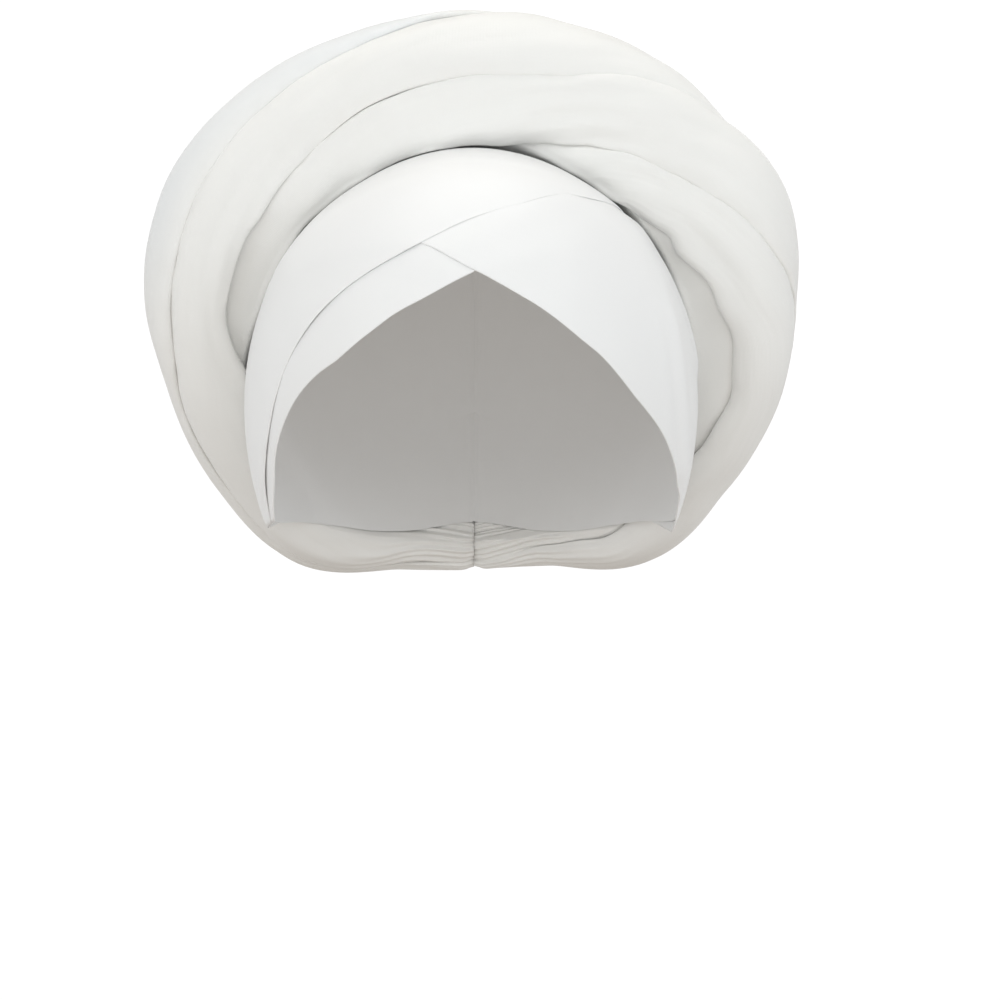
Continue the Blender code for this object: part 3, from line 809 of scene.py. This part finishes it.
def roomOf(rope, arm, at, place):  # share of the radius up to the cloth, beyond 1 where it is pressed on
    towardCap = window((at + 180) % 360 - 180, *ring["pressedPlaces"])
    spare = ring["spread"] * ring["pressed"].at("share", place) * towardCap
    free = clearance(rope[0][:, None] + arm) >= ring["clearance"]
    low, high = np.where(free, 1.0, 0.0), np.where(free, 1 + spare, 1.0)
    for _ in range(ring["halvings"]):
        middle = (low + high) / 2
        clear = clearance(rope[0][:, None] + arm * middle[..., None]) >= ring["clearance"]
        low, high = np.where(clear, middle, low), np.where(clear, high, middle)
    return np.where(free, 1 + (low - 1) * ease((1 + spare - low) / ring["roomEase"]), low)


def lapAt(crease, place):
    right, left = ring["laps"][crease]
    return right + (left - right) * ease((place - ring["lapStart"]) / (ring["lapEnd"] - ring["lapStart"]))


def creaseAt(crease, place):
    look = ring["ragged"][crease]
    waves = ripple(place / look["stretch"], 0 * place, look["seed"], waves=5)
    wander = look["reach"] * window(place, *ring["still"]) * waves
    return ring["creases"].at(crease, place) + wander


def closedCurve(controls, samples):  # weights of a closed smooth curve through a ring of control points
    count = len(samples)
    weights = []
    for k, parts in enumerate(samples):
        for f in np.arange(parts) / parts:
            row = np.zeros(count)
            for step, weight in zip((-1, 0, 1, 2), ((1 - f) ** 3, 3 * f ** 3 - 6 * f ** 2 + 4,
                                                    -3 * f ** 3 + 3 * f ** 2 + 3 * f + 1, f ** 3)):
                row[(k + step) % count] += weight / 6
            weights.append(row)
    return controls @ np.array(weights).T


def edgeDrop(crease, place, lap):  # lap is 1 where the side in question is the upper one
    depths = ring["depths"][crease]
    over, under = depths.at("over", place), depths.at("under", place)
    return under + (over - under) * (1 + lap) / 2


def strandRelief(look, place, t):  # soft folds along the strand, crumples at its edges, gathers at the nape
    seed = look["seed"]

    def uneven(kind, seedStep, drift=0.0):
        height, wave, count = relief[kind]
        return height * ripple(place / wave, t * count + drift, seed + seedStep)

    long = uneven("long", 0, place / relief["drift"])
    dents = uneven("dents", 5) * 4 * t * (1 - t)
    edge = (swell(t, relief["edgeWidth"]) + swell(1 - t, relief["edgeWidth"])) * uneven("edge", 3)
    nape = ease(1 - np.minimum(place + 90, 270 - place) / relief["gatherReach"])
    sway = relief["gatherSway"] * ripple(place / 30, t, seed + 4, waves=3)
    gather = nape * relief["gather"] * np.sin(turn * (t * relief["gatherFolds"] + sway))
    return long + uneven("soft", 1) + dents + uneven("fine", 2) + edge + gather


def makeStrand(name):  # t runs from 0 at the strand's low crease to 1 at its high one
    look = strands[name]
    start, end = -90.0 + ring["seamSlit"], 270.0 - ring["seamSlit"]
    even = np.linspace(0, 1, ring["stations"])
    place = (start + (end - start) * even)[:, None]
    low = creaseAt(look["low"], place)
    high = creaseAt(look["high"], place) + look["turn"]
    lowLap, highLap = lapAt(look["low"], place), lapAt(look["high"], place)

    lowDrop, highDrop = edgeDrop(look["low"], place, lowLap), edgeDrop(look["high"], place, -highLap)
    lowUnder = edgeDrop(look["low"], place, -np.abs(lowLap))
    highUnder = edgeDrop(look["high"], place, -np.abs(highLap))

    def back(t):  # the rounded back of the strand, as a share of the radius
        lap = np.where(t < 0.5, lowLap, -highLap)
        sharpness = ring["sharpness"] + ring["sharpnessLap"] * lap
        return 1 - np.where(t < 0.5, lowDrop, highDrop) * np.abs(2 * t - 1) ** sharpness

    lowEdge = ring["edgePlace"] * (1 - lowLap) / 2
    highEdge = 1 - ring["edgePlace"] * (1 + highLap) / 2
    lowOver, highOver = np.clip(lowLap, 0, 1), np.clip(-highLap, 0, 1)
    lowNose = 1 - lowDrop - (lowUnder - lowDrop) * ring["nose"] - ring["noseSink"]
    highNose = 1 - highDrop - (highUnder - highDrop) * ring["nose"] - ring["noseSink"]
    one, core, foot, shoulder = np.ones_like(place), ring["core"], ring["foot"], ring["shoulder"]
    # control points round the strand's section: t, share of the radius, side of the slit
    spots = [(0 * one, core * one, 1), (0 * one, foot * one, 1), (0 * one, shoulder - lowUnder, 1),
             (-ring["overhang"] * lowOver, lowNose, 1), (lowEdge, back(lowEdge), 1)]
    spots += [(t * one, back(t * one), 0) for t in ring["backPlaces"]]
    spots += [(highEdge, back(highEdge), -1), (1 + ring["overhang"] * highOver, highNose, -1),
              (1 * one, shoulder - highUnder, -1), (1 * one, foot * one, -1), (1 * one, core * one, -1)]
    samples = [2, 3, 6, 8] + [8] * (len(ring["backPlaces"]) + 2) + [6, 3, 2, 2]
    t, share, slit = (closedCurve(np.concatenate([spot[i] * one for spot in spots], axis=1), samples)
                      for i in range(3))
    around = t.shape[1]
    rope = ringFrame(place[:, 0])
    at = low + (high - low) * t + (lowLap + (highLap - lowLap) * t) * ring["swirl"] * (1 - share)
    arm = ropeArm(rope, at)
    radius = np.linalg.norm(arm, axis=-1)
    outside = ease((share - ring["outsideFrom"]) / ring["outsideOver"])
    seam = swell(np.minimum(place + 90, 270 - place), ring["seamWidth"])
    share = share * (1 - ring["seamPinch"] * seam * outside) + outside * strandRelief(look, place, t) / radius
    room = roomOf(rope, arm, at, place)
    reach = share * room
    at = at + slit * np.degrees(ring["slit"] / np.maximum(reach * radius, 2 * mm))
    points = rope[0][:, None] + ropeArm(rope, at) * reach[..., None]
    if "slack" in look:  # where the strand sinks back between its neighbours
        slack = look["slack"]
        inside = np.clip(1 - ((place - slack["ring"]) / slack["spread"]) ** 2, 0, None) ** 2
        inside = inside * np.clip(1 - ((at - slack["place"]) / slack["width"]) ** 2, 0, None) ** 2
        points[..., 1] += slackDepth * inside * (1 - np.abs(2 * t - 1) ** 4) * ease((share - 0.5) / 0.2)
    gap = clearance(points)
    short = np.clip(ring["least"] - gap, 0, None) * (gap > ring["deepest"])
    points = points + unit(points - headCentre) * short[..., None]
    faces = loopFaces(ring["stations"], around)
    faces += [tuple(range(around)), tuple((ring["stations"] - 1) * around + k for k in range(around))]
    along = runLength(points).mean(axis=1, keepdims=True) + 0 * t
    across = np.concatenate([np.zeros((len(place), 1)),
                             np.cumsum(np.linalg.norm(np.diff(points, axis=1), axis=-1), axis=1)], axis=1)
    weave = np.stack([along, across], -1).reshape(-1, 2)
    piece = makeMesh(name.replace("strand", "roll"), points.reshape(-1, 3), faces, weave)
    # mask of the painted shade on the sheer patch: the outer strand's outward side, between the right side
    # and the crown
    sheerShade = window(place, *ring["sheerShade"]["ring"]) * window(at, *ring["sheerShade"]["place"]) * outside
    attribute = piece.data.attributes.new("sheerShade", "FLOAT", "POINT")
    attribute.data.foreach_set("value", sheerShade.astype(np.float32).ravel())
    return piece


for strandName in strands:
    roll = makeStrand(strandName)
    sheerShadeShare = ring["sheerShade"]["share"] if strandName == "outer_strand" else 0.0
    cloth = organzaFinish(strandName.replace("_", " ") + " organza", sheerShadeShare)
    dress(roll, strandName, cloth)
    print(strandName, "made:", len(roll.data.polygons), "faces")


# The studio: a round floor that sweeps up into a wall, and soft lights. The sweep is painted near black and
# its paleness is painted light: it glows, dim and warm near the middle, bright white farther out and up the
# wall

studio = {
    "sweep": (  # distance from the middle, height
        (0.0, -0.62), (0.8, -0.62), (1.6, -0.62), (2.4, -0.62), (3.4, -0.62), (4.2, -0.57),
        (4.7, -0.42), (4.95, -0.10), (5.0, 0.40), (5.0, 2.30),
    ),
    "segments": 72,
    "paint": (0.04, 0.04, 0.04, 1),
    # painted light: the sweep glows in these colours, dim and warm near the middle, bright white farther out
    "nearGlow": (0.50, 0.46, 0.42, 1),
    "farGlow": (1.02, 1.02, 1.02, 1),
    "brightFrom": 1.1,
    "brightOver": 1.0,
    "surround": (0.09, 0.09, 0.09, 1),
    "aim": (0.0, 0.0, -0.06),
    "lights": {
        # where it stands, how wide it is, its power and its tint
        "front": {"at": (0.0, -1.7, 0.9), "size": 1.0, "power": 7.3, "tint": (1.0, 0.984, 0.925)},
        "left": {"at": (-1.5, -1.3, 0.5), "size": 1.0, "power": 7.5, "tint": (0.886, 0.951, 1.0)},
        "right": {"at": (1.5, -1.3, 0.5), "size": 1.0, "power": 8.5, "tint": (0.83, 0.92, 1.0)},
        "top": {"at": (0.0, 0.2, 1.2), "size": 1.0, "power": 11.4, "tint": (1.0, 0.97, 0.93)},
    },
}


def makeSweep():
    count = studio["segments"]
    angle = np.arange(count) * turn / count
    reach, height = np.array(studio["sweep"])[1:, :, None].transpose(1, 0, 2)
    points = np.stack([reach * np.cos(angle), reach * np.sin(angle), height + 0 * angle], -1)
    points = np.concatenate([points.reshape(-1, 3), [[0, 0, studio["sweep"][0][1]]]])
    faces = loopFaces(len(reach), count) + [(k, (k + 1) % count, len(points) - 1) for k in range(count)]
    sweep = makeMesh("studio_sweep", points, faces, points[:, :2])
    finish = Finish("studio glow", {
        "Base Color": studio["paint"], "Roughness": 0.9, "Specular IOR Level": 0.0, "Emission Strength": 1.0,
    })
    where = finish.node("ShaderNodeTexCoord", output=3)
    distance = finish.node("ShaderNodeVectorMath", {"operation": "LENGTH"}, {0: where}, output=1)
    far = ((distance - studio["brightFrom"]) / studio["brightOver"]).clamp()
    # painted light: the glow eases from the dim warm colour near the middle to bright white farther out
    lit = finish.mixColour(far, studio["nearGlow"], studio["farGlow"])
    finish.feed(finish.shader.inputs["Emission Color"], lit)
    sweep.data.materials.append(finish.material)


def makeLights():
    for name, look in studio["lights"].items():
        data = bpy.data.lights.new(name, "AREA")
        data.size, data.energy, data.color = look["size"], look["power"], look["tint"]
        light = bpy.data.objects.new(name, data)
        light.location = look["at"]
        toward = Vector(studio["aim"]) - light.location
        light.rotation_euler = toward.to_track_quat("-Z", "Y").to_euler()
        bpy.context.scene.collection.objects.link(light)
    world = bpy.data.worlds.new("surround")
    world.use_nodes = True
    world.node_tree.nodes["Background"].inputs["Color"].default_value = studio["surround"]
    bpy.context.scene.world = world


photoView = {"at": (0.0105, -1.5, -0.1339), "lens": 139.1, "sensor": 36.0}


def makeCamera():  # level, looking straight at the face opening
    data = bpy.data.cameras.new("photo camera")
    data.lens, data.sensor_width = photoView["lens"], photoView["sensor"]
    camera = bpy.data.objects.new("photo camera", data)
    camera.location = photoView["at"]
    camera.rotation_euler = (math.radians(90), 0, 0)
    bpy.context.scene.collection.objects.link(camera)
    bpy.context.scene.camera = camera


makeSweep()
makeLights()
makeCamera()
bpy.context.scene.view_settings.view_transform = "Standard"
print("studio made")
